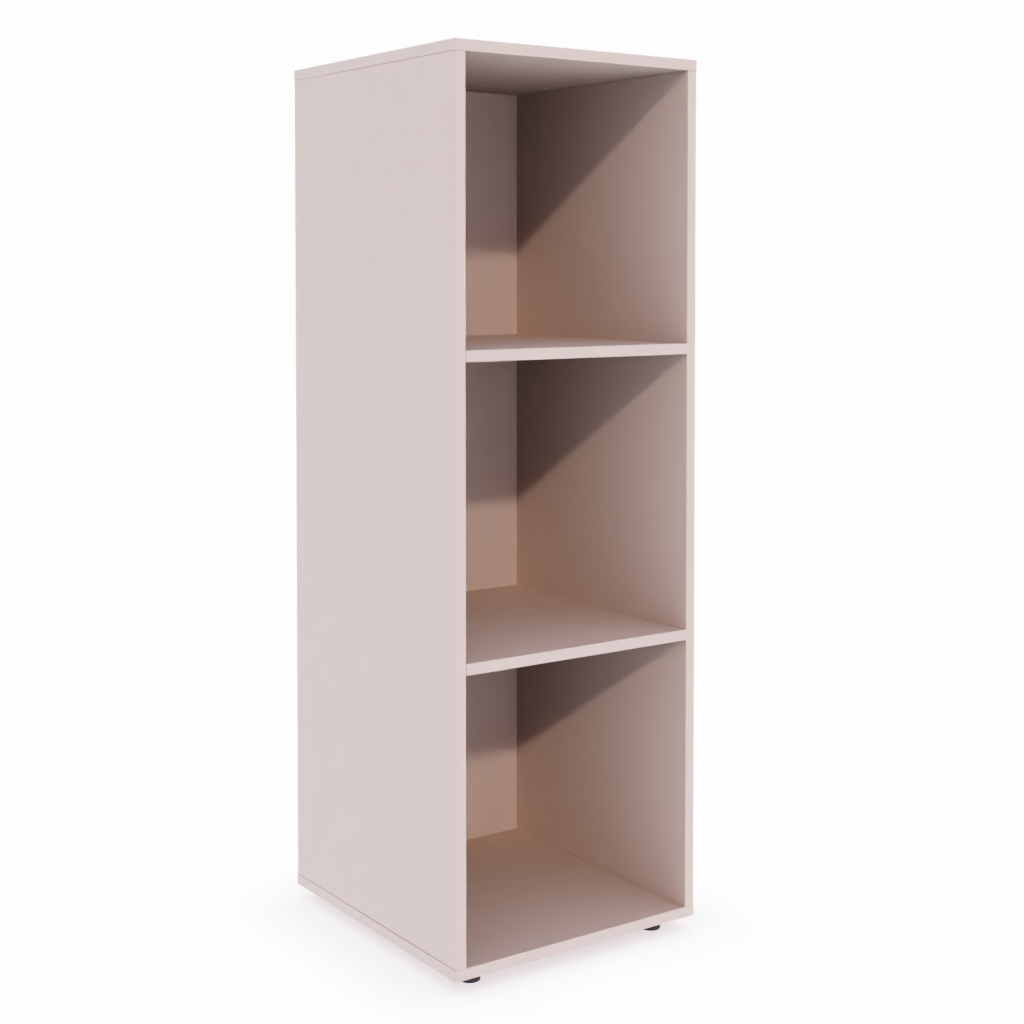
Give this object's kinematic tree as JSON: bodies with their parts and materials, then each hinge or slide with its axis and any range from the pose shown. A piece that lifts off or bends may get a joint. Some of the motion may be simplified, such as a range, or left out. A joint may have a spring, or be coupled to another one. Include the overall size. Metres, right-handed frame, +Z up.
{
  "type": "open locker",
  "caption": "Tall open-fronted locker carcass in melamine board, divided by fixed shelves into stacked compartments, standing on screw-adjusted levelling feet.",
  "frame": {"origin": "on the floor, under the middle of the carcass", "axes": "+Z up, the open front faces -Y, +X to the right as seen from the front"},
  "size_m": [0.4, 0.43, 1.2193],
  "materials": {
    "board": "melamine-faced chipboard, plain pale warm grey, fine satin structure",
    "edging": "edge banding in the board's colour, satin",
    "hardboard": "lacquered front face in the board's colour, raw brown rear face",
    "dowel": "raw beech",
    "steel": "bright zinc plate",
    "foot_plastic": "black moulded, fine matt texture"
  },
  "bodies": {
    "carcass": {"left_side_panel": "board", "right_side_panel": "board", "top_panel": "board", "bottom_panel": "board", "upper_shelf": "board", "lower_shelf": "board", "back_panel": "hardboard", "left_side_front_edging": "edging", "right_side_front_edging": "edging", "upper_shelf_front_edging": "edging", "lower_shelf_front_edging": "edging", "top_panel_front_edging": "edging", "top_panel_rear_edging": "edging", "top_panel_left_edging": "edging", "top_panel_right_edging": "edging", "bottom_panel_front_edging": "edging", "bottom_panel_rear_edging": "edging", "bottom_panel_left_edging": "edging", "bottom_panel_right_edging": "edging", "top_left_dowel_front": "dowel", "top_left_dowel_middle": "dowel", "top_left_dowel_rear": "dowel", "top_right_dowel_front": "dowel", "top_right_dowel_middle": "dowel", "top_right_dowel_rear": "dowel", "bottom_left_dowel_front": "dowel", "bottom_left_dowel_middle": "dowel", "bottom_left_dowel_rear": "dowel", "bottom_right_dowel_front": "dowel", "bottom_right_dowel_middle": "dowel", "bottom_right_dowel_rear": "dowel", "upper_shelf_left_dowel_front": "dowel", "upper_shelf_left_dowel_rear": "dowel", "upper_shelf_right_dowel_front": "dowel", "upper_shelf_right_dowel_rear": "dowel", "lower_shelf_left_dowel_front": "dowel", "lower_shelf_left_dowel_rear": "dowel", "lower_shelf_right_dowel_front": "dowel", "lower_shelf_right_dowel_rear": "dowel", "foot_insert_front_left": "steel", "foot_insert_front_right": "steel", "foot_insert_rear_left": "steel", "foot_insert_rear_right": "steel"},
    "base_front_left": {"foot_base_front_left": "foot_plastic"},
    "base_front_right": {"foot_base_front_right": "foot_plastic"},
    "base_rear_left": {"foot_base_rear_left": "foot_plastic"},
    "base_rear_right": {"foot_base_rear_right": "foot_plastic"},
    "stud_front_left": {"foot_stud_front_left": "steel"},
    "stud_front_right": {"foot_stud_front_right": "steel"},
    "stud_rear_left": {"foot_stud_rear_left": "steel"},
    "stud_rear_right": {"foot_stud_rear_right": "steel"}
  },
  "joints": [
    {"name": "foot_height_front_left", "type": "slide", "parent": "carcass", "child": "base_front_left", "axis": [0, 0, 1], "range_m": [-0.00375, 0.00375]},
    {"name": "stud_turn_front_left", "type": "hinge", "parent": "base_front_left", "child": "stud_front_left", "pos_m": [-0.153, -0.176, 0], "axis": [0, 0, 1], "range_deg": [-1080, 1080]},
    {"name": "foot_height_front_right", "type": "slide", "parent": "carcass", "child": "base_front_right", "axis": [0, 0, 1], "range_m": [-0.00375, 0.00375]},
    {"name": "stud_turn_front_right", "type": "hinge", "parent": "base_front_right", "child": "stud_front_right", "pos_m": [0.153, -0.176, 0], "axis": [0, 0, 1], "range_deg": [-1080, 1080]},
    {"name": "foot_height_rear_left", "type": "slide", "parent": "carcass", "child": "base_rear_left", "axis": [0, 0, 1], "range_m": [-0.00375, 0.00375]},
    {"name": "stud_turn_rear_left", "type": "hinge", "parent": "base_rear_left", "child": "stud_rear_left", "pos_m": [-0.153, 0.176, 0], "axis": [0, 0, 1], "range_deg": [-1080, 1080]},
    {"name": "foot_height_rear_right", "type": "slide", "parent": "carcass", "child": "base_rear_right", "axis": [0, 0, 1], "range_m": [-0.00375, 0.00375]},
    {"name": "stud_turn_rear_right", "type": "hinge", "parent": "base_rear_right", "child": "stud_rear_right", "pos_m": [0.153, 0.176, 0], "axis": [0, 0, 1], "range_deg": [-1080, 1080]}
  ],
  "couplings": [
    {"joint": "stud_turn_front_left", "follows": "foot_height_front_left", "rad_per_m": 5026.5},
    {"joint": "stud_turn_front_right", "follows": "foot_height_front_right", "rad_per_m": 5026.5},
    {"joint": "stud_turn_rear_left", "follows": "foot_height_rear_left", "rad_per_m": 5026.5},
    {"joint": "stud_turn_rear_right", "follows": "foot_height_rear_right", "rad_per_m": 5026.5}
  ]
}
